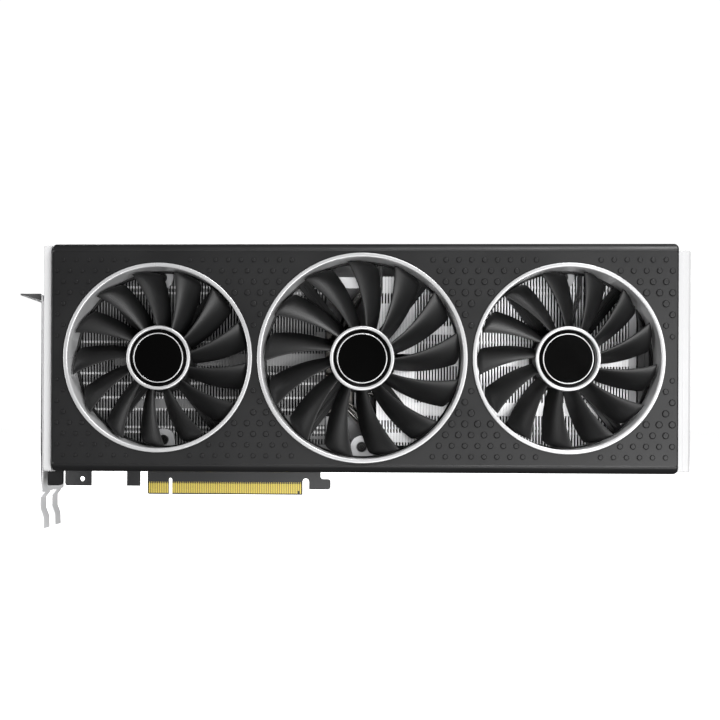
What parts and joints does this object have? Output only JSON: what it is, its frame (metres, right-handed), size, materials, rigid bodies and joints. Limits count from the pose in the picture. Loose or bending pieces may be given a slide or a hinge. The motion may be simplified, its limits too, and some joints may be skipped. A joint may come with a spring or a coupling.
{
  "type": "graphics card",
  "caption": "Graphics card with a row of cooling fans in a black shroud, a finned cooler, a two-slot bracket and a gold edge connector.",
  "frame": {"origin": "centre of the long edge-connector tongue's bottom face, in the board's mid-plane", "axes": "+X from the bracket to the free end, +Y from the fan side to the backplate, +Z away from the edge connector"},
  "size_m": [0.3497, 0.0516, 0.1469],
  "materials": {
    "black_plastic": "fine moulded satin",
    "rotor_black": "semi-gloss",
    "silver_trim": "satin silver plating",
    "pale_plastic": "pale satin",
    "fin_aluminium": "bright stamped fins",
    "nickel_pipe": "nickel plated",
    "copper": "machined copper",
    "grey_sheet": "satin grey",
    "board": "black solder mask",
    "gold": "gold plated",
    "bracket_steel": "bright plated",
    "laminations": "stacked laminations",
    "magnet": "sintered",
    "bronze": "oiled bronze",
    "steel": "bright",
    "chip": "moulded epoxy",
    "backplate_black": "anodised black",
    "lead_black": "sleeved lead"
  },
  "bodies": {
    "card": {"backplate": "backplate_black", "bearing_sleeve_centre": "bronze", "bearing_sleeve_left": "bronze", "bearing_sleeve_right": "bronze", "bracket": "bracket_steel", "choke_row": "chip", "circuit_board": "board", "cold_plate": "copper", "cooler_carrier": "grey_sheet", "display_socket_1": "steel", "display_socket_2": "steel", "display_socket_3": "steel", "fan_frame_centre": "black_plastic", "fan_frame_left": "black_plastic", "fan_frame_right": "black_plastic", "fan_header": "pale_plastic", "fan_lead_centre": "lead_black", "fan_lead_left": "lead_black", "fan_lead_right": "lead_black", "fin_stack_left": "fin_aluminium", "fin_stack_right": "fin_aluminium", "graphics_chip": "chip", "hdmi_socket": "steel", "heat_pipe_1": "nickel_pipe", "heat_pipe_2": "nickel_pipe", "heat_pipe_3": "nickel_pipe", "heat_pipe_4": "nickel_pipe", "left_end_frame": "pale_plastic", "long_contacts_back": "gold", "long_contacts_front": "gold", "memory_left": "chip", "memory_right": "chip", "power_socket_1": "black_plastic", "power_socket_2": "black_plastic", "retention_plate": "grey_sheet", "right_end_frame": "pale_plastic", "short_contacts_back": "gold", "short_contacts_front": "gold", "shroud": "black_plastic", "stator_centre": "laminations", "stator_left": "laminations", "stator_right": "laminations", "trim_ring_centre": "silver_trim", "trim_ring_left": "silver_trim", "trim_ring_right": "silver_trim"},
    "fan_left": {"rotor_left": "rotor_black", "magnet_ring_left": "magnet", "shaft_left": "steel", "hub_ring_left": "silver_trim", "hub_badge_left": "black_plastic"},
    "fan_centre": {"rotor_centre": "rotor_black", "magnet_ring_centre": "magnet", "shaft_centre": "steel", "hub_ring_centre": "silver_trim", "hub_badge_centre": "black_plastic"},
    "fan_right": {"rotor_right": "rotor_black", "magnet_ring_right": "magnet", "shaft_right": "steel", "hub_ring_right": "silver_trim", "hub_badge_right": "black_plastic"}
  },
  "joints": [
    {"name": "fan_left_spin", "type": "hinge", "parent": "card", "child": "fan_left", "pos_m": [-0.035, -0.036, 0.0723], "axis": [0, -1, 0], "continuous": true},
    {"name": "fan_centre_spin", "type": "hinge", "parent": "card", "child": "fan_centre", "pos_m": [0.0686, -0.036, 0.0723], "axis": [0, -1, 0], "continuous": true},
    {"name": "fan_right_spin", "type": "hinge", "parent": "card", "child": "fan_right", "pos_m": [0.1722, -0.036, 0.0723], "axis": [0, -1, 0], "continuous": true}
  ]
}
